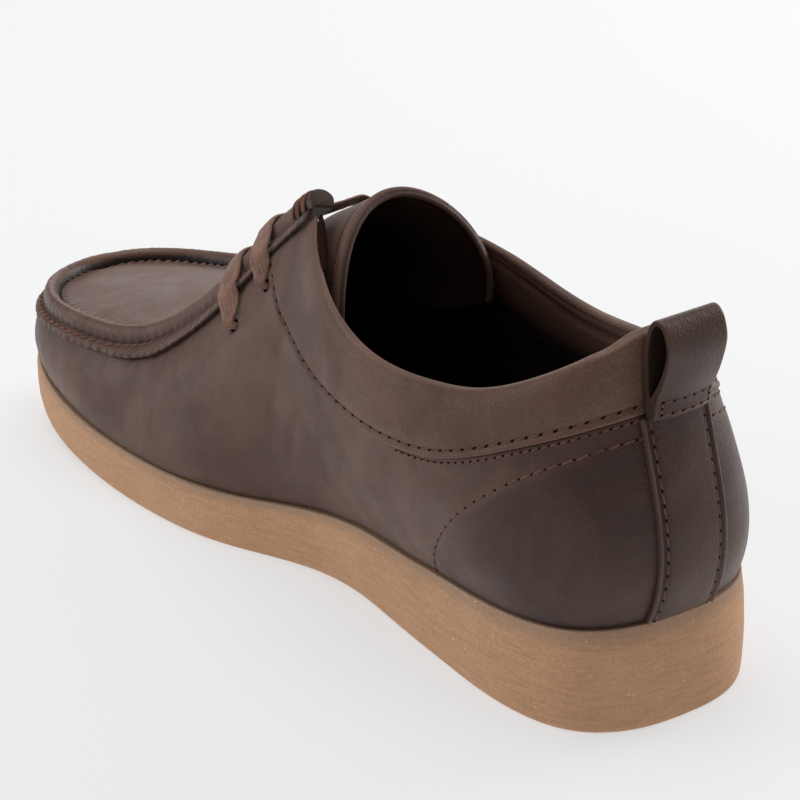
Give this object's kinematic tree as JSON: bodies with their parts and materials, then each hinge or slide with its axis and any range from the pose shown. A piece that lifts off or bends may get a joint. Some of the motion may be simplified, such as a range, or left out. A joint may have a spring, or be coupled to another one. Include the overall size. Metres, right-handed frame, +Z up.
{
  "type": "casual shoe",
  "caption": "Low casual leather shoe for the right foot with a rolled apron seam, padded collar, flat laces, heel pull loop and a moulded crepe wedge sole.",
  "frame": {"origin": "centre of the footprint's bounding box, on the ground", "axes": "+Y from heel to toe, +X to the outer side of the right foot, +Z up"},
  "size_m": [0.1038, 0.3158, 0.1184],
  "materials": {
    "crepe": "matte natural crepe rubber with a fine horizontal grain on its side",
    "lining": "dark smooth lining",
    "leather": "dark brown waxed leather with a soft sheen and light mottling",
    "leather_collar": "dark brown nappy leather over soft padding",
    "lace": "flat waxed reddish brown lace"
  },
  "bodies": {
    "root": {"sole": "crepe", "insole": "lining", "upper": "leather", "collar": "leather_collar", "apron_roll": "leather", "apron": "leather", "tongue": "leather", "backstay": "leather", "pull_loop": "leather", "lace_front": "lace", "lace_rear": "lace"}
  },
  "joints": []
}
